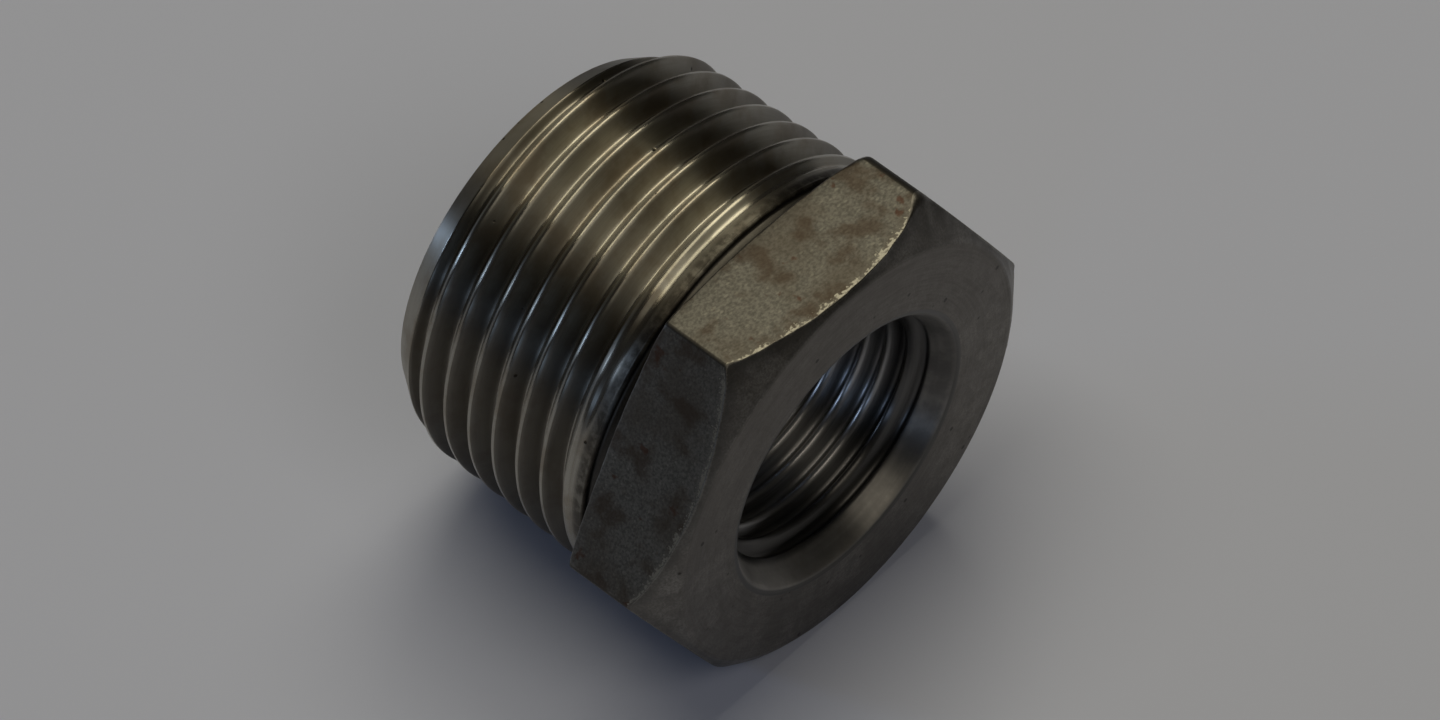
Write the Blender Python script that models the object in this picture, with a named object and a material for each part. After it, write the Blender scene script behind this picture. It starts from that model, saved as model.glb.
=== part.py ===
"""Hexagon reducing bushing: a male 1 in taper pipe thread outside, a female 1/2 in taper pipe
thread inside, and a wrench hexagon at one end. The real thing is one turned piece of metal.

It lies as it would on a bench, on one wrench flat: +X runs along the bore towards the hexagon
face, +Z is up, and the origin is under the middle of its length on the surface that it lies on.
Lengths are in metres. Angles about the bore are measured from +Y towards +Z.
"""

import math

import bmesh
import bpy

MM = 0.001

# Hexagon
ACROSS_FLATS = 34.5 * MM
HEX_LENGTH = 7.7 * MM  # at the corners
FACE_RADIUS = 16.8 * MM  # where the flat front face meets its turned cone
CONE_SLOPE = 0.655  # axial drop of that cone for each unit of radius
SHOULDER_SLOPE = 0.17  # the same for the shallow cone at the back of the hexagon

# Male thread, 55 degree form, 11 turns to the inch, taper 1:16 on diameter
MALE_LENGTH = 20.9 * MM  # from the shoulder, at the hexagon's corners, to the end face
MALE_PITCH = 25.4 / 11 * MM
MALE_CREST_RADIUS = 16.6 * MM  # at MALE_CREST_FROM behind the shoulder
MALE_CREST_FROM = 6.0 * MM
MALE_FIRST_ROOT = -0.91 * MM  # the root nearest the shoulder, on the +Y side
MALE_END_RADIUS = 14.2 * MM  # outer edge of the end face, below the last root
MALE_END_CHAMFER = 2.8 * MM  # axial length of the cone between the crests and that edge
MALE_FADE_START = 5.3 * MM  # from the shoulder: the cutter starts to leave the metal
MALE_FADE_END = 1.9 * MM  # and is clear of it
MALE_CREST_END = 1.6 * MM  # from the shoulder: where the narrow neck begins
NECK_RADIUS = 16.25 * MM

# Female thread, 55 degree form, 14 turns to the inch, taper 1:16 on diameter
FEMALE_PITCH = 25.4 / 14 * MM
FEMALE_MINOR_RADIUS = 9.32 * MM  # at the hexagon face
FEMALE_FIRST_CREST = -1.14 * MM  # the crest nearest that face, on the +Y side
FEMALE_LENGTH = 18.5 * MM  # how deep the tap reaches from the hexagon face
FEMALE_FADE = 2.5 * MM
BORE_RADIUS = 9.0 * MM
COUNTERSINK_RADIUS = 11.15 * MM  # at the hexagon face
COUNTERSINK_SLOPE = 0.58  # radius lost for each unit of depth
BORE_END_CHAMFER = 0.5 * MM

# Thread form shared by both threads
THREAD_TAPER = 1 / 32  # on radius
THREAD_DEPTH_PER_PITCH = 0.640327
FLAT_SHARE = 1 / 12  # half the width of a crest or root flat, as a share of the pitch

COLUMNS = 42  # a multiple of six, so that the hexagon's corners lie on columns
MERGE = 1e-7
SHARP_ANGLE = math.radians(25)

LENGTH = HEX_LENGTH + MALE_LENGTH
FACE_X = LENGTH / 2
SHOULDER_X = FACE_X - HEX_LENGTH
END_X = -LENGTH / 2
CREST_END_X = SHOULDER_X - MALE_CREST_END
CORNER_RADIUS = ACROSS_FLATS / 2 / math.cos(math.pi / 6)
AXIS_HEIGHT = ACROSS_FLATS / 2

# Turns of the thread form where its flats begin and end, as shares of a pitch from a root
FORM_POINTS = (FLAT_SHARE, 0.5 - FLAT_SHARE, 0.5 + FLAT_SHARE, 1 - FLAT_SHARE)


def smooth_step(value, low, high):
    """0 at low, 1 at high, with an even start and end."""
    share = min(1.0, max(0.0, (value - low) / (high - low)))
    return share * share * (3 - 2 * share)


def rise_from_root(turns):
    """0 on the root flat and 1 on the crest flat of the thread form."""
    from_root = abs(turns - round(turns))
    return min(1.0, max(0.0, (from_root - FLAT_SHARE) / (0.5 - 2 * FLAT_SHARE)))


def male_radius(x, angle):
    """Outer surface of the male thread, with its end cone and its run-out at the hexagon."""
    behind = x - SHOULDER_X
    crest = MALE_CREST_RADIUS + (behind + MALE_CREST_FROM) * THREAD_TAPER
    turns = (behind - MALE_FIRST_ROOT) / MALE_PITCH - angle / math.tau
    depth = THREAD_DEPTH_PER_PITCH * MALE_PITCH * (1 - rise_from_root(turns))
    depth *= smooth_step(-behind, MALE_FADE_END, MALE_FADE_START)
    end_crest = MALE_CREST_RADIUS + (MALE_CREST_FROM - MALE_LENGTH) * THREAD_TAPER
    cone_slope = (end_crest - MALE_END_RADIUS) / MALE_END_CHAMFER
    cone = MALE_END_RADIUS + (x - END_X) * cone_slope
    return min(crest - depth, cone)


def female_radius(x, angle):
    """Inner surface of the female thread, with its countersink and its run-out in the bore."""
    inside = FACE_X - x
    minor = max(BORE_RADIUS, FEMALE_MINOR_RADIUS - inside * THREAD_TAPER)
    major = FEMALE_MINOR_RADIUS + THREAD_DEPTH_PER_PITCH * FEMALE_PITCH - inside * THREAD_TAPER
    turns = (-inside - FEMALE_FIRST_CREST) / FEMALE_PITCH - angle / math.tau
    rise = rise_from_root(turns) * smooth_step(FEMALE_LENGTH - inside, 0, FEMALE_FADE)
    countersink = COUNTERSINK_RADIUS - inside * COUNTERSINK_SLOPE
    return max(minor + (major - minor) * rise, countersink)


def helix_rows(angle, low, high, first, pitch, radius):
    """Points (x, radius) of one thread from low to high at this angle. Rows past either end are
    held at it, so each angle has the same number of rows and neighbouring rows follow the helix."""
    start = math.floor((low - first) / pitch) - 1
    stop = math.ceil((high - first) / pitch) + 1
    rows = []
    for turn in range(start, stop):
        for share in FORM_POINTS:
            x = first + pitch * (turn + share + angle / math.tau)
            x = min(high, max(low, x))
            rows.append((x, radius(x, angle)))
    return rows


def hexagon_radius(angle):
    """Distance from the axis to the hexagon's outline. Its corners are at 0, 60, 120 degrees."""
    from_flat_middle = math.fmod(angle, math.pi / 3) - math.pi / 6
    return ACROSS_FLATS / 2 / math.cos(from_flat_middle)


def shoulder_x(radius):
    """Where the hexagon's back cone lies at this radius. Its corners are at SHOULDER_X."""
    return SHOULDER_X - (CORNER_RADIUS - radius) * SHOULDER_SLOPE


def section(angle):
    """The closed outline (x, radius) that the bushing has at this angle about its axis."""
    corner = hexagon_radius(angle)
    first_root = SHOULDER_X + MALE_FIRST_ROOT
    outline = helix_rows(angle, END_X, CREST_END_X, first_root, MALE_PITCH, male_radius)
    outline += [
        (CREST_END_X, NECK_RADIUS),
        (shoulder_x(NECK_RADIUS), NECK_RADIUS),
        (shoulder_x(corner), corner),
        (FACE_X - (corner - FACE_RADIUS) * CONE_SLOPE, corner),
        (FACE_X, FACE_RADIUS),
    ]
    tap_end = FACE_X - FEMALE_LENGTH
    first_crest = FACE_X + FEMALE_FIRST_CREST
    inner = helix_rows(angle, tap_end, FACE_X, first_crest, FEMALE_PITCH, female_radius)
    outline += reversed(inner)
    outline += [
        (END_X + BORE_END_CHAMFER, BORE_RADIUS),
        (END_X, BORE_RADIUS + BORE_END_CHAMFER),
    ]
    return outline


def skin(name):
    """One closed mesh through the sections at every angle, with the last column on the first."""
    mesh = bmesh.new()
    columns = []
    for index in range(COLUMNS + 1):
        angle = math.tau * index / COLUMNS
        columns.append(
            [
                mesh.verts.new(
                    (x, radius * math.cos(angle), AXIS_HEIGHT + radius * math.sin(angle))
                )
                for x, radius in section(angle)
            ]
        )
    rows = len(columns[0])
    for left, right in zip(columns, columns[1:]):
        for row in range(rows):
            above = (row + 1) % rows
            mesh.faces.new((left[row], right[row], right[above], left[above]))
    bmesh.ops.remove_doubles(mesh, verts=mesh.verts, dist=MERGE)
    bmesh.ops.recalc_face_normals(mesh, faces=mesh.faces)
    data = bpy.data.meshes.new(name)
    mesh.to_mesh(data)
    mesh.free()
    data.shade_smooth()
    data.set_sharp_from_angle(angle=SHARP_ANGLE)
    return data


def stainless_steel():
    """Warm grey stainless steel, half way between its turned and its blasted surfaces."""
    material = bpy.data.materials.new("stainless_steel")
    material.use_nodes = True
    shader = material.node_tree.nodes["Principled BSDF"]
    shader.inputs["Base Color"].default_value = (0.46, 0.44, 0.41, 1.0)
    shader.inputs["Metallic"].default_value = 1.0
    shader.inputs["Roughness"].default_value = 0.32
    return material


def clear_scene():
    for item in list(bpy.data.objects):
        bpy.data.objects.remove(item, do_unlink=True)


def build():
    clear_scene()
    body = bpy.data.objects.new("bushing_body", skin("bushing_body"))
    body.data.materials.append(stainless_steel())
    bpy.context.scene.collection.objects.link(body)


build()
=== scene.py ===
"""Looks of the hex reducing bushing: one turned piece of stainless steel, lying on a wrench flat.

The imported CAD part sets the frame, the size and the place. This script builds the same shape
again as one fine skin, with rounded crests, a worn hexagon and a soft countersink, and paints its
turned, faced, blasted and bored surfaces. Lengths are in metres, and in millimetres where the
materials say where a surface changes. Angles about the bore are measured from +Y towards +Z, as in
the part's source.
"""

import math

import bmesh
import bpy
import numpy as np
from mathutils import Matrix, Vector


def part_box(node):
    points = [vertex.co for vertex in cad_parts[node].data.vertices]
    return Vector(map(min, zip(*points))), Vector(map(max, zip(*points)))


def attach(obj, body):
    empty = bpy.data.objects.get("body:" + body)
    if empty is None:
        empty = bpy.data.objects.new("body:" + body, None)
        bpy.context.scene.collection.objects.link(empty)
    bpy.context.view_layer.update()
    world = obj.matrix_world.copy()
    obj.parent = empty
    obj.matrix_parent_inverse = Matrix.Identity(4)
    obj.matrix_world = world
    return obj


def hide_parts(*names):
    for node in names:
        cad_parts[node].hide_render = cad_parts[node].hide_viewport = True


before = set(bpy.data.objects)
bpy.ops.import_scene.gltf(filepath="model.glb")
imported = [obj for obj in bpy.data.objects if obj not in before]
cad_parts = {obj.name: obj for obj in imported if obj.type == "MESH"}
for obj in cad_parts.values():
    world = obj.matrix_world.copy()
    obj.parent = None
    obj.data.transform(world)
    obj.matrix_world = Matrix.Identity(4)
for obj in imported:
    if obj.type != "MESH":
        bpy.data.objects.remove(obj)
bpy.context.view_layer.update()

MM = 0.001
TAU = math.tau

# The part's own dimensions, read from its box or repeated from its design
LOW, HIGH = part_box("bushing_body")
FACE_X = HIGH.x
END_X = LOW.x
ACROSS_FLATS = HIGH.z - LOW.z
AXIS_HEIGHT = (HIGH.z + LOW.z) / 2
FLAT_RADIUS = ACROSS_FLATS / 2
CORNER_RADIUS = FLAT_RADIUS / math.cos(TAU / 12)
HEX_LENGTH = 7.7 * MM
SHOULDER_X = FACE_X - HEX_LENGTH
MALE_LENGTH = SHOULDER_X - END_X
FACE_RADIUS = 16.8 * MM
CONE_SLOPE = 0.655
SHOULDER_SLOPE = 0.17

MALE_PITCH = 25.4 / 11 * MM
MALE_CREST_RADIUS = 16.6 * MM
MALE_CREST_FROM = 6.0 * MM
MALE_FIRST_ROOT = -0.91 * MM
MALE_END_RADIUS = 14.2 * MM
MALE_END_CHAMFER = 2.8 * MM
MALE_FADE_START = 5.3 * MM
MALE_FADE_END = 1.9 * MM
MALE_CREST_END = 1.6 * MM
NECK_RADIUS = 16.25 * MM
CREST_END_X = SHOULDER_X - MALE_CREST_END

FEMALE_PITCH = 25.4 / 14 * MM
FEMALE_MINOR_RADIUS = 9.32 * MM
FEMALE_FIRST_CREST = -1.14 * MM
FEMALE_LENGTH = 18.5 * MM
FEMALE_FADE = 2.5 * MM
BORE_RADIUS = 9.0 * MM
COUNTERSINK_RADIUS = 11.15 * MM
COUNTERSINK_SLOPE = 0.58
BORE_END_CHAMFER = 0.5 * MM
MOUTH_X = FACE_X - 1.1 * MM  # where the countersink's rounded mouth has become its cone

THREAD_TAPER = 1 / 32
THREAD_DEPTH_PER_PITCH = 0.640327
FLAT_SHARE = 1 / 12

# The same places along the bushing in millimetres, for the materials
FACE_MM = FACE_X / MM
SHOULDER_MM = SHOULDER_X / MM
END_MM = END_X / MM

# Fineness of the skin
MALE_ROWS_PER_PITCH = 18
FEMALE_ROWS_PER_PITCH = 12
SECTOR_COLUMNS = 50  # columns for each sixth of a turn
CORNER_CROWDING = 0.8  # how strongly columns gather at the hexagon's corners
FLAT_ROWS = (0.15, 0.3, 0.45)  # extra rows on the flats, as shares of the way to the front rim
CONE_ROW = 0.2  # an extra row on the front cone, as a share of the way from the face to a corner
CONE_ROW_MARGIN = 0.1 * MM  # and at least this far inside the hexagon's outline
FACE_ROW = 0.35  # one on the face, as a share of the way from its rim to the countersink
MOUTH_ROW = 1.2 * MM  # and one this far outside the countersink
SHOULDER_ROW = 0.35 * MM  # one on the shoulder, this far inside the flats
MERGE = 1e-7

# Rounding of the real edges
THREAD_ROUNDING = 0.12  # of the thread form's bends, as a share of its depth
EDGE_SOFTNESS = 0.10 * MM
CREST_END_ROUNDING = 0.2 * MM
NECK_ROUNDING = 0.5 * MM
REAR_RIM_ROUNDING = 0.16 * MM
FRONT_RIM_ROUNDING = 0.1 * MM
FACE_RIM_ROUNDING = 0.6 * MM
MOUTH_ROUNDING = 0.7 * MM
REAR_RIM_WOBBLE = 0.05 * MM
FRONT_RIM_WOBBLE = 0.08 * MM
FILLET_SHARE = 0.9  # the most of a side that one fillet takes

# The hexagon's worn corners
CORNER_RADII = (1.4, 1.2, 0.5, 0.5, 2.6, 1.6)  # in mm, at 0, 60, 120 degrees and so on
CORNER_BAND = 0.45  # half the width of the rounded band along a corner, as a share of its radius
WEAR_REACH = 1.7  # how far the wear reaches along the rims, as a share of the corner's radius
FRONT_WEAR = 0.25  # how far back the front rim is worn at a corner, as a share of its radius
REAR_WEAR = 0.05  # how far forward the rear rim is worn there
FRONT_WEAR_ROUNDING = 0.8 / MM  # extra rounding of the front rim for each square of the wear
REAR_WEAR_ROUNDING = 0.4 / MM  # and of the rear rim

# Zones of the skin, which are also the slots of its materials
THREAD, BLASTED, FACED, BORED = range(4)


def smooth_step(value, low, high):
    """0 at low, 1 at high, with an even start and end."""
    share = np.clip((value - low) / (high - low), 0.0, 1.0)
    return share * share * (3 - 2 * share)


def smooth_min(a, b, width):
    """The smaller of two surfaces, with the edge between them rounded over width."""
    share = np.clip(0.5 + 0.5 * (b - a) / width, 0.0, 1.0)
    return b + (a - b) * share - width * share * (1 - share)


def smooth_max(a, b, width):
    """The larger of two surfaces, with the edge between them rounded over width."""
    return -smooth_min(-a, -b, width)


def rise_from_root(turns):
    """0 on the root flat and 1 on the crest flat, with both bends rounded."""
    from_root = np.abs(turns - np.round(turns))
    straight = (from_root - FLAT_SHARE) / (0.5 - 2 * FLAT_SHARE)
    return smooth_max(smooth_min(straight, 1.0, THREAD_ROUNDING), 0.0, THREAD_ROUNDING)


def male_radius(x, angle):
    """Outer surface of the male thread, with its end cone and its run-out at the hexagon."""
    behind = x - SHOULDER_X
    crest = MALE_CREST_RADIUS + (behind + MALE_CREST_FROM) * THREAD_TAPER
    turns = (behind - MALE_FIRST_ROOT) / MALE_PITCH - angle / TAU
    depth = THREAD_DEPTH_PER_PITCH * MALE_PITCH * (1 - rise_from_root(turns))
    depth = depth * smooth_step(-behind, MALE_FADE_END, MALE_FADE_START)
    end_crest = MALE_CREST_RADIUS + (MALE_CREST_FROM - MALE_LENGTH) * THREAD_TAPER
    cone_slope = (end_crest - MALE_END_RADIUS) / MALE_END_CHAMFER
    cone = MALE_END_RADIUS + (x - END_X) * cone_slope
    return smooth_min(crest - depth, cone, EDGE_SOFTNESS)


def female_radius(x, angle):
    """Inner surface of the female thread, with its countersink and its run-out in the bore."""
    inside = FACE_X - x
    minor = np.maximum(BORE_RADIUS, FEMALE_MINOR_RADIUS - inside * THREAD_TAPER)
    major = FEMALE_MINOR_RADIUS + THREAD_DEPTH_PER_PITCH * FEMALE_PITCH - inside * THREAD_TAPER
    turns = (-inside - FEMALE_FIRST_CREST) / FEMALE_PITCH - angle / TAU
    rise = rise_from_root(turns) * smooth_step(FEMALE_LENGTH - inside, 0, FEMALE_FADE)
    countersink = COUNTERSINK_RADIUS - inside * COUNTERSINK_SLOPE
    return smooth_max(minor + (major - minor) * rise, countersink, EDGE_SOFTNESS)


def column_angles():
    """Angles of the skin's columns, crowded towards the hexagon's corners at 0, 60, 120 degrees."""
    even = np.linspace(-1, 1, SECTOR_COLUMNS + 1)[:-1]
    crowded = even + CORNER_CROWDING * np.sin(np.pi * even) / np.pi
    sector = (crowded + 1) / 2 * (TAU / 6)
    angles = np.concatenate([sector + TAU / 6 * side for side in range(6)])
    return np.append(angles, TAU)


def helix_rows(angles, low, high, first, pitch, per_pitch, radius):
    """A column of points along one thread at each angle. Rows past either end are held at it, so
    neighbouring rows follow the helix and the first and last columns meet."""
    start = math.floor((low - first) / pitch) - 1
    stop = math.ceil((high - first) / pitch) + 1
    shares = np.arange(start * per_pitch, stop * per_pitch) / per_pitch
    x = first + pitch * (shares[None, :] + angles[:, None] / TAU)
    x = np.clip(x, low, high)
    return x, radius(x, angles[:, None])


def corner_rounding(angles):
    """The radius of the hexagon's nearest corner. Forging and wear left each one different."""
    nearest = np.round(angles / (TAU / 6)).astype(int) % 6
    return np.array(CORNER_RADII)[nearest] * MM


def angle_from_corner(angles):
    """How far an angle is from the hexagon's nearest corner."""
    return np.abs((angles + TAU / 12) % (TAU / 6) - TAU / 12)


def hexagon_radius(angles):
    """Distance from the axis to the hexagon's outline, with its corners rounded."""
    rounding = corner_rounding(angles)
    from_corner = angle_from_corner(angles)
    flat = FLAT_RADIUS / np.cos(TAU / 12 - from_corner)
    centre = (FLAT_RADIUS - rounding) / math.cos(TAU / 12)
    sideways = centre * np.sin(from_corner)
    arc = centre * np.cos(from_corner) + np.sqrt(np.maximum(rounding**2 - sideways**2, 0.0))
    arc_end = np.arctan2(
        rounding * math.sin(TAU / 12),
        centre + rounding * math.cos(TAU / 12),
    )
    return np.where(from_corner < arc_end, arc, flat)


def wobble(angles, size, seed):
    """A small uneven line around the bushing: a few sine waves with their own fixed phases."""
    phases = np.random.default_rng(seed).uniform(0, TAU, 6)
    waves = [
        np.sin(count * angles + phase) / (index + 2)
        for index, (count, phase) in enumerate(zip((7, 16, 31, 47, 68, 95), phases))
    ]
    return size * sum(waves)


def filleted(points, radii, segments):
    """An open chain of (x, radius) corners for every column, each rounded by its own fillet. Two
    fillets on one side share it."""
    chain = []
    last = len(points) - 1
    for index, (x, r) in enumerate(points):
        if index in (0, last) or segments[index] == 0:
            chain.append((x, r))
            continue
        before = np.stack([points[index - 1][0] - x, points[index - 1][1] - r])
        after = np.stack([points[index + 1][0] - x, points[index + 1][1] - r])
        before_length = np.hypot(*before)
        after_length = np.hypot(*after)
        before = before / before_length
        after = after / after_length
        half = np.arccos(np.clip((before * after).sum(0), -1, 1)) / 2
        room = FILLET_SHARE * np.minimum(
            before_length / (2 if segments[index - 1] else 1),
            after_length / (2 if segments[index + 1] else 1),
        )
        reach = np.minimum(radii[index] / np.tan(half), room)
        radius = reach * np.tan(half)
        middle = before + after
        middle = middle / np.hypot(*middle)
        centre = np.stack([x, r]) + middle * (radius / np.sin(half))
        start = np.stack([x, r]) + before * reach - centre
        end = np.stack([x, r]) + after * reach - centre
        sweep = np.pi - 2 * half
        for step in range(segments[index] + 1):
            share = step / segments[index]
            turned = (
                np.sin((1 - share) * sweep) * start + np.sin(share * sweep) * end
            ) / np.sin(sweep)
            chain.append((centre[0] + turned[0], centre[1] + turned[1]))
    return chain


def shoulder_x(radius):
    """Where the hexagon's back cone lies at this radius."""
    return SHOULDER_X - (CORNER_RADIUS - radius) * SHOULDER_SLOPE


def cone_x(radius):
    """Where the hexagon's front cone lies at this radius."""
    return FACE_X - (radius - FACE_RADIUS) * CONE_SLOPE


def corner_wear(angles):
    """The nearest corner's radius at that corner, falling to nothing along the flats."""
    from_corner = angle_from_corner(angles) * CORNER_RADIUS
    rounding = corner_rounding(angles)
    return rounding * np.exp(-((from_corner / (WEAR_REACH * rounding)) ** 2))


def hexagon_rows(angles):
    """The hexagon, from the end of the thread's crest to the countersink's mouth, as rows of
    points around the bushing, and the zone that the skin has after each row. Each corner below is
    its x, its radius, its rounding, the steps of that rounding and the zone after it."""
    ones = np.ones_like(angles)
    corner = hexagon_radius(angles)
    crest = male_radius(CREST_END_X * ones, angles)
    wear = corner_wear(angles)
    rear = shoulder_x(corner) + REAR_WEAR * wear + wobble(angles, REAR_RIM_WOBBLE, seed=3)
    front = cone_x(corner) - FRONT_WEAR * wear + wobble(angles, FRONT_RIM_WOBBLE, seed=5)
    rear_rounding = REAR_RIM_ROUNDING + REAR_WEAR_ROUNDING * wear**2
    front_rounding = FRONT_RIM_ROUNDING + FRONT_WEAR_ROUNDING * wear**2
    on_shoulder = FLAT_RADIUS - SHOULDER_ROW
    on_cone = CONE_ROW * CORNER_RADIUS + (1 - CONE_ROW) * FACE_RADIUS
    on_cone = np.minimum(corner - CONE_ROW_MARGIN, on_cone)
    on_face = FACE_ROW * COUNTERSINK_RADIUS + (1 - FACE_ROW) * FACE_RADIUS
    corners = [
        (CREST_END_X * ones - CREST_END_ROUNDING, crest, 0, 0, THREAD),
        (CREST_END_X * ones, crest, CREST_END_ROUNDING, 4, THREAD),
        (CREST_END_X * ones, NECK_RADIUS * ones, NECK_ROUNDING, 5, FACED),
        (shoulder_x(NECK_RADIUS) * ones, NECK_RADIUS * ones, NECK_ROUNDING, 5, FACED),
        (shoulder_x(on_shoulder) * ones, on_shoulder * ones, 0, 0, FACED),
        (rear, corner, rear_rounding, 4, BLASTED),
    ]
    for share in FLAT_ROWS:
        corners.append((rear + share * (front - rear), corner, 0, 0, BLASTED))
    corners += [
        (front, corner, front_rounding, 10, FACED),
        (cone_x(on_cone), on_cone, 0, 0, FACED),
        (FACE_X * ones, FACE_RADIUS * ones, FACE_RIM_ROUNDING, 6, FACED),
        (FACE_X * ones, on_face * ones, 0, 0, FACED),
        (FACE_X * ones, (COUNTERSINK_RADIUS + MOUTH_ROW) * ones, 0, 0, FACED),
        (FACE_X * ones, COUNTERSINK_RADIUS * ones, MOUTH_ROUNDING, 6, BORED),
        (MOUTH_X * ones, female_radius(MOUTH_X * ones, angles), 0, 0, BORED),
    ]
    points = [row[:2] for row in corners]
    roundings = [row[2] for row in corners]
    steps = [row[3] for row in corners]
    zones = []
    for *_, count, zone in corners:
        zones += [zone] * (count + 1)
    return filleted(points, roundings, steps), zones


def hexagon_edge_distances(x, r, angles):
    """How far a point of the hexagon's surface is from its flats' nearest front or rear rim, and
    from the rounded band along the nearest corner. The second is below zero on that band."""
    corner = hexagon_radius(angles)[:, None]
    from_middle = (angles % (TAU / 6) - TAU / 12)[:, None]
    to_corner = FLAT_RADIUS * (math.tan(TAU / 12) - np.abs(np.tan(from_middle)))
    to_rim = np.maximum(np.minimum(cone_x(corner) - x, x - shoulder_x(corner)), 0)
    off_flat = corner - r > EDGE_SOFTNESS
    to_band = to_corner - CORNER_BAND * corner_rounding(angles)[:, None]
    return np.where(off_flat, corner - r, to_rim), np.where(off_flat, HEX_LENGTH, to_band)


def skin_grid():
    """The whole skin as columns of points about the axis, the zone after each row, and how far
    each point is from the hexagon's worn edges."""
    angles = column_angles()
    ones = np.ones_like(angles)
    crest_end = CREST_END_X - CREST_END_ROUNDING
    first_root = SHOULDER_X + MALE_FIRST_ROOT
    male_x, male_r = helix_rows(
        angles, END_X, crest_end, first_root, MALE_PITCH, MALE_ROWS_PER_PITCH, male_radius
    )
    tap_end = FACE_X - FEMALE_LENGTH
    first_crest = FACE_X + FEMALE_FIRST_CREST
    female_x, female_r = helix_rows(
        angles, tap_end, MOUTH_X, first_crest, FEMALE_PITCH, FEMALE_ROWS_PER_PITCH, female_radius
    )
    hexagon, hex_zones = hexagon_rows(angles)
    hex_x = np.stack([x * ones for x, r in hexagon], 1)
    hex_r = np.stack([r * ones for x, r in hexagon], 1)
    tail_x = np.stack([(END_X + BORE_END_CHAMFER) * ones, END_X * ones], 1)
    tail_r = np.stack([BORE_RADIUS * ones, (BORE_RADIUS + BORE_END_CHAMFER) * ones], 1)
    x = np.concatenate([male_x, hex_x, female_x[:, ::-1], tail_x], 1)
    r = np.concatenate([male_r, hex_r, female_r[:, ::-1], tail_r], 1)
    zones = [THREAD] * male_x.shape[1] + hex_zones + [BORED] * (female_x.shape[1] + 1) + [FACED]
    distances = np.full((2, *x.shape), HEX_LENGTH)
    hex_columns = slice(male_x.shape[1], male_x.shape[1] + hex_x.shape[1])
    distances[:, :, hex_columns] = hexagon_edge_distances(hex_x, hex_r, angles)
    y = r * np.cos(angles)[:, None]
    z = AXIS_HEIGHT + r * np.sin(angles)[:, None]
    return np.stack([x, y, z], -1), np.array(zones), distances


def build_skin(name):
    """One closed mesh of quads, with the last column on the first and the last row on the first."""
    grid, zones, distances = skin_grid()
    columns, rows = grid.shape[:2]
    index = np.arange(columns * rows).reshape(columns, rows)
    ahead = np.roll(index, -1, axis=1)
    quads = np.stack([index[:-1], index[1:], ahead[1:], ahead[:-1]], -1).reshape(-1, 4)
    data = bpy.data.meshes.new(name)
    data.from_pydata(grid.reshape(-1, 3).tolist(), [], quads.tolist())
    data.polygons.foreach_set("material_index", np.tile(zones, columns - 1))
    for key, distance in zip(("rim_distance", "band_distance"), distances):
        wear = data.attributes.new(key, "FLOAT", "POINT")
        wear.data.foreach_set("value", (distance / MM).reshape(-1))
    mesh = bmesh.new()
    mesh.from_mesh(data)
    bmesh.ops.remove_doubles(mesh, verts=mesh.verts, dist=MERGE)
    bmesh.ops.recalc_face_normals(mesh, faces=mesh.faces)
    mesh.to_mesh(data)
    mesh.free()
    data.shade_smooth()
    obj = bpy.data.objects.new(name, data)
    bpy.context.scene.collection.objects.link(obj)
    return obj


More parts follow.
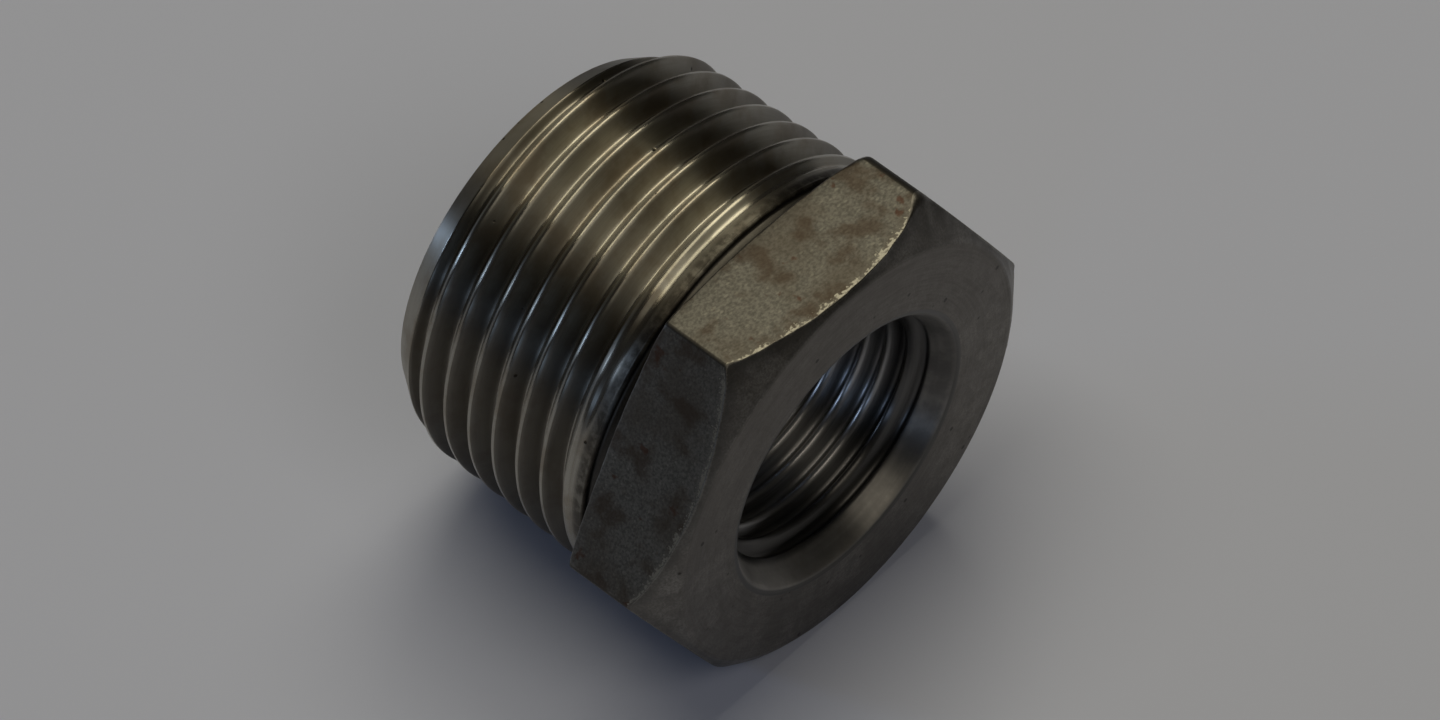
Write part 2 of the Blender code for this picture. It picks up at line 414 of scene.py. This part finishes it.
class Paint:
    """One material's node tree, and the few kinds of node that these materials are made of."""

    def __init__(self, name):
        self.material = bpy.data.materials.new(name)
        self.material.use_nodes = True
        self.tree = self.material.node_tree
        self.shader = self.tree.nodes["Principled BSDF"]
        self.shader.inputs["Metallic"].default_value = 1.0

    def put(self, socket, value):
        """Links a socket into this one, or sets this one to a plain value."""
        if isinstance(value, bpy.types.NodeSocket):
            self.tree.links.new(value, socket)
        else:
            socket.default_value = value

    def math(self, operation, *values):
        node = self.tree.nodes.new("ShaderNodeMath")
        node.operation = operation
        for socket, value in zip(node.inputs, values):
            self.put(socket, value)
        return node.outputs[0]

    def both(self, first, second):
        """Where two masks are both on."""
        return self.math("MULTIPLY", first, second)

    def vector_math(self, operation, *values):
        node = self.tree.nodes.new("ShaderNodeVectorMath")
        node.operation = operation
        for socket, value in zip(node.inputs, values):
            self.put(socket, value)
        return node.outputs[0]

    def combine(self, x, y, z):
        node = self.tree.nodes.new("ShaderNodeCombineXYZ")
        for socket, value in zip(node.inputs, (x, y, z)):
            self.put(socket, value)
        return node.outputs[0]

    def noise(self, vector, scale, detail=2.0, roughness=0.5, w=None):
        node = self.tree.nodes.new("ShaderNodeTexNoise")
        node.noise_dimensions = "3D" if w is None else "4D"
        self.put(node.inputs["Vector"], vector)
        if w is not None:
            self.put(node.inputs["W"], w)
        node.inputs["Scale"].default_value = scale
        node.inputs["Detail"].default_value = detail
        node.inputs["Roughness"].default_value = roughness
        return node.outputs["Fac"]

    def ramp(self, value, low, high, start=0.0, end=1.0):
        """start up to low and end from high on, with a smooth change between them."""
        node = self.tree.nodes.new("ShaderNodeMapRange")
        node.interpolation_type = "SMOOTHSTEP"
        self.put(node.inputs["Value"], value)
        for name, number in (
            ("From Min", low),
            ("From Max", high),
            ("To Min", start),
            ("To Max", end),
        ):
            node.inputs[name].default_value = number
        return node.outputs["Result"]

    def mix(self, factor, first, second):
        node = self.tree.nodes.new("ShaderNodeMix")
        node.data_type = "RGBA"
        self.put(node.inputs["Factor"], factor)
        for socket, colour in zip((node.inputs[6], node.inputs[7]), (first, second)):
            self.put(socket, colour if isinstance(colour, bpy.types.NodeSocket) else (*colour, 1))
        return node.outputs[2]

    def attribute(self, name):
        node = self.tree.nodes.new("ShaderNodeAttribute")
        node.attribute_name = name
        return node.outputs["Fac"]

    def specks(self, vector, scale, size, share):
        """1 inside small round specks: this share of the cells of this scale hold one each."""
        node = self.tree.nodes.new("ShaderNodeTexVoronoi")
        self.put(node.inputs["Vector"], vector)
        node.inputs["Scale"].default_value = scale
        inside = self.ramp(node.outputs["Distance"], size * 0.5, size, 1.0, 0.0)
        chosen = self.math("LESS_THAN", self.channel(node.outputs["Color"], 0), share)
        return self.math("MULTIPLY", inside, chosen)

    def channel(self, vector, index):
        node = self.tree.nodes.new("ShaderNodeSeparateXYZ")
        self.put(node.inputs[0], vector)
        return node.outputs[index]

    def bump(self, *layers):
        """Stacks layers of (height, depth in metres), the first of them at the bottom."""
        normal = None
        for height, depth in layers:
            node = self.tree.nodes.new("ShaderNodeBump")
            self.put(node.inputs["Height"], height)
            node.inputs["Distance"].default_value = depth
            if normal is not None:
                self.put(node.inputs["Normal"], normal)
            normal = node.outputs["Normal"]
        self.put(self.shader.inputs["Normal"], normal)


class Surface:
    """Sockets that say where a point of the bushing is, in millimetres and about its axis."""

    def __init__(self, paint):
        self.paint = paint
        coordinates = paint.tree.nodes.new("ShaderNodeTexCoord").outputs["Object"]
        centred = paint.vector_math("SUBTRACT", coordinates, (0.0, 0.0, AXIS_HEIGHT))
        self.place = paint.vector_math("MULTIPLY", centred, (1 / MM, 1 / MM, 1 / MM))
        self.x, self.y, self.z = [paint.channel(self.place, index) for index in range(3)]
        across = paint.combine(0.0, self.y, self.z)
        length = paint.tree.nodes.new("ShaderNodeVectorMath")
        length.operation = "LENGTH"
        paint.put(length.inputs[0], across)
        self.radius = length.outputs["Value"]
        self.outward = paint.vector_math("NORMALIZE", across)
        self.around = paint.vector_math("CROSS_PRODUCT", (1.0, 0.0, 0.0), self.outward)
        self.normal = paint.tree.nodes.new("ShaderNodeNewGeometry").outputs["Normal"]
        self.lean = paint.channel(self.normal, 0)

    def turned(self, fineness, along, detail=2.0, roughness=0.5):
        """Noise in rings about the axis: fineness is in cells per millimetre across the rings, and
        along is the number of cells in a radian along them."""
        paint = self.paint
        across = paint.combine(
            paint.math("MULTIPLY", self.x, fineness),
            paint.math("MULTIPLY", self.radius, fineness),
            paint.math("MULTIPLY", paint.channel(self.outward, 1), along),
        )
        w = paint.math("MULTIPLY", paint.channel(self.outward, 2), along)
        return paint.noise(across, 1.0, detail, roughness, w)

    def brush(self, amount):
        """Stretches the reflections across the turning marks, as fine rings of them do."""
        paint = self.paint
        across = paint.vector_math("CROSS_PRODUCT", self.around, self.normal)
        paint.put(paint.shader.inputs["Tangent"], across)
        paint.shader.inputs["Anisotropic"].default_value = amount


def thread_steel():
    """The male thread: bright crests and roots, satin flanks, light brown staining and specks. The
    flanks that face the hexagon carry painted shade, darkest low down and faint near the top, the
    run-out is stained, and the top of the end cone carries painted shade."""
    paint = Paint("thread_steel")
    surface = Surface(paint)
    fine = surface.turned(9.0, 5.0, detail=3.0)
    chatter = surface.turned(1.2, 7.0)
    stain = paint.noise(surface.place, 0.28, detail=4.0, roughness=0.6)
    specks = paint.specks(surface.place, 0.55, 0.1, 0.3)
    colour = paint.mix(paint.ramp(stain, 0.42, 0.66), (0.36, 0.345, 0.3), (0.26, 0.23, 0.183))
    colour = paint.mix(paint.ramp(fine, 0.35, 0.7, 0.0, 0.3), colour, (0.25, 0.22, 0.18))
    # Painted shade: the flanks that face the hexagon are darkened, most low down and least near the
    # top.
    facing_hexagon = paint.ramp(surface.lean, 0.2, 0.42)
    shaded_low_flank = paint.both(facing_hexagon, paint.ramp(surface.z, 8.0, 14.0, 0.75, 0.1))
    colour = paint.mix(shaded_low_flank, colour, (0.1, 0.089, 0.074))
    mottle = paint.noise(surface.place, 1.1, detail=4.0, roughness=0.65)
    near_shoulder = paint.ramp(surface.x, SHOULDER_MM - 3.0, SHOULDER_MM - 2.2)
    dulled = paint.both(near_shoulder, paint.ramp(mottle, 0.36, 0.6, 0.5, 0.95))
    colour = paint.mix(dulled, colour, (0.08, 0.072, 0.06))
    # Painted shade on the top of the end cone, which dims its reflection of the ceiling lights.
    end_cone = paint.ramp(surface.x, END_MM + 2.5, END_MM + 3.0, 0.55, 0.0)
    shaded_end_top = paint.both(end_cone, paint.ramp(surface.z, 8.0, 13.0))
    colour = paint.mix(shaded_end_top, colour, (0.13, 0.12, 0.1))
    colour = paint.mix(specks, colour, (0.05, 0.04, 0.03))
    paint.put(paint.shader.inputs["Base Color"], colour)
    flank = paint.ramp(paint.math("ABSOLUTE", surface.lean), 0.15, 0.42, 0.21, 0.38)
    run_out = paint.ramp(surface.x, SHOULDER_MM - 3.0, SHOULDER_MM - 2.4, 0.0, 0.46)
    haze = paint.ramp(stain, 0.35, 0.7, 0.0, 0.05)
    roughness = paint.math("ADD", paint.math("MAXIMUM", flank, run_out), haze)
    paint.put(paint.shader.inputs["Roughness"], roughness)
    paint.bump((chatter, 0.003 * MM), (fine, 0.0006 * MM), (specks, -0.02 * MM))
    surface.brush(0.92)
    return paint.material


def bored_steel():
    """The bore: a satin countersink with soft tool rings and painted shade on its +Y side, and a
    threaded part that is dark with residue, most of all in its first turn."""
    paint = Paint("bored_steel")
    surface = Surface(paint)
    fine = surface.turned(6.0, 3.0, detail=1.0)
    rings = surface.turned(2.2, 0.8, detail=1.0)
    cloud = paint.noise(surface.place, 0.4, detail=4.0, roughness=0.6)
    cone_offset = (COUNTERSINK_RADIUS - FACE_X * COUNTERSINK_SLOPE) / MM
    cone = paint.math("MULTIPLY_ADD", surface.x, COUNTERSINK_SLOPE, cone_offset)
    cut = paint.ramp(paint.math("SUBTRACT", surface.radius, cone), 0.04, 0.14)
    deep = paint.ramp(surface.x, FACE_MM - 2.1, FACE_MM - 1.5, 1.0, 0.0)
    threaded = paint.math("MAXIMUM", cut, deep)
    satin = paint.mix(paint.ramp(cloud, 0.4, 0.66), (0.4, 0.38, 0.345), (0.28, 0.265, 0.243))
    satin = paint.mix(paint.ramp(rings, 0.4, 0.6, 0.0, 0.5), satin, (0.26, 0.248, 0.23))
    # Painted shade, mottled, on the countersink's +Y side.
    side = paint.ramp(surface.y, 5.0, 8.5)
    shaded_side = paint.both(side, paint.ramp(cloud, 0.3, 0.6, 0.55, 0.8))
    satin = paint.mix(shaded_side, satin, (0.12, 0.115, 0.108))
    dark = paint.mix(paint.ramp(fine, 0.35, 0.65), (0.38, 0.374, 0.366), (0.3, 0.294, 0.288))
    first_turn = paint.ramp(surface.x, FACE_MM - 5.0, FACE_MM - 3.8, 0.0, 0.85)
    dark = paint.mix(first_turn, dark, (0.06, 0.057, 0.053))
    paint.put(paint.shader.inputs["Base Color"], paint.mix(threaded, satin, dark))
    paint.put(paint.shader.inputs["Roughness"], paint.ramp(threaded, 0.0, 1.0, 0.5, 0.34))
    satin_rings = paint.both(rings, paint.ramp(threaded, 0.0, 1.0, 1.0, 0.1))
    paint.bump((satin_rings, 0.03 * MM))
    surface.brush(0.8)
    return paint.material


def blasted_steel():
    """Cast wrench flats, blasted matt: a soft grain, brown stains and a worn, broken front rim."""
    paint = Paint("blasted_steel")
    surface = Surface(paint)
    drawn = paint.vector_math("MULTIPLY", surface.place, (1.0, 0.7, 1.0))
    grain = paint.noise(drawn, 5.0, detail=3.0, roughness=0.6)
    stretched = paint.vector_math("MULTIPLY", surface.place, (1.0, 0.5, 1.0))
    flecks = paint.specks(stretched, 2.6, 0.3, 0.5)
    coarse = paint.noise(surface.place, 0.9, detail=3.0)
    cloud = paint.noise(surface.place, 0.16, detail=3.0, roughness=0.6)
    stain = paint.noise(paint.vector_math("ADD", surface.place, (7.0, 3.0, 11.0)), 0.42, detail=4.0)
    rust = paint.noise(paint.vector_math("ADD", surface.place, (2.0, 9.0, 5.0)), 0.7, detail=4.0)
    colour = paint.mix(paint.ramp(grain, 0.3, 0.7), (0.09, 0.087, 0.079), (0.165, 0.159, 0.144))
    colour = paint.mix(paint.math("MULTIPLY", flecks, 0.5), colour, (0.23, 0.222, 0.195))
    colour = paint.mix(paint.ramp(cloud, 0.42, 0.66, 0.0, 0.5), colour, (0.08, 0.066, 0.052))
    colour = paint.mix(paint.ramp(stain, 0.48, 0.66, 0.0, 0.65), colour, (0.058, 0.04, 0.028))
    colour = paint.mix(paint.ramp(rust, 0.64, 0.72, 0.0, 0.7), colour, (0.07, 0.03, 0.018))
    uneven = paint.math("MULTIPLY", paint.math("SUBTRACT", coarse, 0.5), 0.9)
    crumbs = paint.math("MULTIPLY", paint.math("SUBTRACT", grain, 0.5), 1.5)
    ragged = paint.math("ADD", paint.attribute("rim_distance"), paint.math("ADD", uneven, crumbs))
    front = paint.ramp(surface.x, SHOULDER_MM + 2.4, SHOULDER_MM + 4.4)
    worn = paint.both(paint.ramp(ragged, 0.08, 0.3, 1.0, 0.0), front)
    colour = paint.mix(worn, colour, (0.27, 0.26, 0.225))
    # Painted shade on the rounded bands along the hexagon's corners.
    band = paint.ramp(paint.attribute("band_distance"), -0.12, 0.0, 0.85, 0.0)
    colour = paint.mix(band, colour, (0.045, 0.042, 0.038))
    paint.put(paint.shader.inputs["Base Color"], colour)
    paint.put(paint.shader.inputs["Roughness"], paint.ramp(worn, 0.0, 1.0, 0.5, 0.4))
    paint.bump((coarse, 0.02 * MM), (grain, 0.007 * MM))
    return paint.material


def faced_steel():
    """The faced front, its cone, the neck, the shoulder and the male end: dull satin steel with
    soft rings of tool marks and a worn front rim, with painted shade darkest behind the hexagon."""
    paint = Paint("faced_steel")
    surface = Surface(paint)
    fine = surface.turned(6.0, 5.0, detail=3.0, roughness=0.6)
    broad = surface.turned(0.8, 2.5, detail=2.0)
    cloud = paint.noise(surface.place, 0.3, detail=4.0, roughness=0.6)
    grain = paint.noise(surface.place, 6.0, detail=3.0, roughness=0.6)
    mottle = paint.noise(surface.place, 0.9, detail=5.0, roughness=0.7)
    specks = paint.specks(surface.place, 0.5, 0.12, 0.35)
    colour = paint.mix(paint.ramp(cloud, 0.38, 0.68), (0.245, 0.232, 0.212), (0.155, 0.144, 0.13))
    colour = paint.mix(paint.ramp(mottle, 0.44, 0.6, 0.0, 0.55), colour, (0.1, 0.093, 0.084))
    colour = paint.mix(paint.ramp(broad, 0.4, 0.62, 0.0, 0.3), colour, (0.15, 0.14, 0.128))
    colour = paint.mix(paint.ramp(grain, 0.35, 0.65, 0.0, 0.6), colour, (0.105, 0.098, 0.088))
    edge = paint.math("ADD", paint.attribute("rim_distance"), paint.math("MULTIPLY", grain, 0.3))
    # The face is given a darker tone throughout, and painted shade that grows towards its top.
    flat_face = paint.ramp(surface.lean, 0.93, 0.99)
    face = paint.both(flat_face, paint.ramp(surface.z, 0.0, 13.0, 0.3, 0.65))
    colour = paint.mix(face, colour, (0.12, 0.108, 0.094))
    # Painted shade behind the hexagon's shoulder: the neck and shoulder, and with them the male
    # end.
    shoulder = paint.ramp(surface.x, SHOULDER_MM, SHOULDER_MM + 0.4, 0.85, 0.0)
    colour = paint.mix(shoulder, colour, (0.05, 0.047, 0.043))
    # Painted shadow on the front cone just below the hexagon's worn front rim.
    shade_below_rim = paint.ramp(edge, 0.3, 1.3, 0.55, 0.0)
    colour = paint.mix(shade_below_rim, colour, (0.08, 0.076, 0.07))
    worn = paint.ramp(edge, 0.12, 0.24, 0.5, 0.0)
    colour = paint.mix(worn, colour, (0.25, 0.24, 0.21))
    colour = paint.mix(specks, colour, (0.05, 0.045, 0.04))
    paint.put(paint.shader.inputs["Base Color"], colour)
    paint.put(paint.shader.inputs["Roughness"], paint.ramp(fine, 0.3, 0.7, 0.36, 0.48))
    paint.bump((broad, 0.012 * MM), (grain, 0.006 * MM), (fine, 0.004 * MM))
    surface.brush(0.15)
    return paint.material


def add_camera():
    """A long lens that looks down on the bushing from in front of its face, on the -Y side."""
    target = Vector((1.96, 0.51, 16.50)) * MM
    azimuth = math.radians(42.7)
    elevation = math.radians(51.93)
    roll = math.radians(-0.39)
    distance = 0.8254
    back = Vector(
        (
            math.sin(azimuth) * math.cos(elevation),
            -math.cos(azimuth) * math.cos(elevation),
            math.sin(elevation),
        )
    )
    camera = bpy.data.objects.new("camera", bpy.data.cameras.new("camera"))
    camera.data.sensor_width = 36
    camera.data.lens = 300
    camera.data.clip_start = 0.01
    camera.data.clip_end = 50
    camera.rotation_mode = "QUATERNION"
    camera.location = target + back * distance
    level = (-back).to_track_quat("-Z", "Y")
    camera.rotation_quaternion = level @ Matrix.Rotation(roll, 4, "Z").to_quaternion()
    bpy.context.scene.collection.objects.link(camera)
    bpy.context.scene.camera = camera


def add_softbox(name, direction, long_side, distance, size, radiance, colour):
    """An area light in this direction from the middle of the bushing, with its first side along
    long_side. Its radiance fixes how bright it looks in a reflection, whatever its size."""
    light = bpy.data.lights.new(name, "AREA")
    light.shape = "RECTANGLE"
    light.size, light.size_y = size
    light.energy = radiance * math.pi * size[0] * size[1]
    light.color = colour
    obj = bpy.data.objects.new(name, light)
    towards = Vector(direction).normalized()
    upward = towards.cross(Vector(long_side)).normalized()
    sideways = upward.cross(towards)
    obj.location = Vector((0, 0, AXIS_HEIGHT)) + towards * distance
    obj.rotation_mode = "QUATERNION"
    obj.rotation_quaternion = Matrix((sideways, upward, towards)).transposed().to_quaternion()
    bpy.context.scene.collection.objects.link(obj)


WARM = (1, 0.92, 0.7)
CREAM = (1, 0.93, 0.8)
BLUE = (0.5, 0.68, 1)

# Name, direction from the bushing, direction of the first side, distance, size, radiance, colour
LIGHTS = (
    ("ceiling_near", (-0.22, 0.459, 0.861), (0, 0.882, -0.471), 0.9, (0.4, 0.5), 2.8, WARM),
    ("ceiling_far", (-0.22, -0.061, 0.974), (0, 0.998, 0.063), 0.9, (0.566, 0.5), 1.85, WARM),
    ("front_light", (0.57, -0.2, 0.78), (0, 0.97, 0.25), 0.9, (0.5, 0.3), 1.6, CREAM),
    ("window_left", (-0.85, -0.5, 0.144), (0.48, -0.63, 0.61), 1.0, (0.22, 0.12), 12.5, BLUE),
    ("window_right", (0.43, -0.89, 0.17), (0.9, 0.43, 0), 1.0, (0.12, 0.1), 10.0, BLUE),
)


def add_floor():
    """A wide matt floor at the height that the bushing lies on."""
    half = 1.5
    outline = [(-half, -half, 0), (half, -half, 0), (half, half, 0), (-half, half, 0)]
    data = bpy.data.meshes.new("floor")
    data.from_pydata(outline, [], [(0, 1, 2, 3)])
    floor = bpy.data.objects.new("floor", data)
    bpy.context.scene.collection.objects.link(floor)
    material = bpy.data.materials.new("floor_paint")
    material.use_nodes = True
    shader = material.node_tree.nodes["Principled BSDF"]
    shader.inputs["Base Color"].default_value = (0.62, 0.66, 0.82, 1)
    shader.inputs["Roughness"].default_value = 0.8
    shader.inputs["Specular IOR Level"].default_value = 0.2
    data.materials.append(material)


def add_world():
    """A faint even light from everywhere else in the room."""
    world = bpy.data.worlds.new("world")
    bpy.context.scene.world = world
    world.use_nodes = True
    background = world.node_tree.nodes["Background"]
    background.inputs["Color"].default_value = (0.6, 0.57, 0.52, 1)
    background.inputs["Strength"].default_value = 0.05


body = build_skin("bushing")
for material in (thread_steel(), blasted_steel(), faced_steel(), bored_steel()):
    body.data.materials.append(material)
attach(body, "root")
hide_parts("bushing_body")
add_floor()
add_camera()
for light in LIGHTS:
    add_softbox(*light)
add_world()
bpy.context.scene.view_settings.view_transform = "Standard"
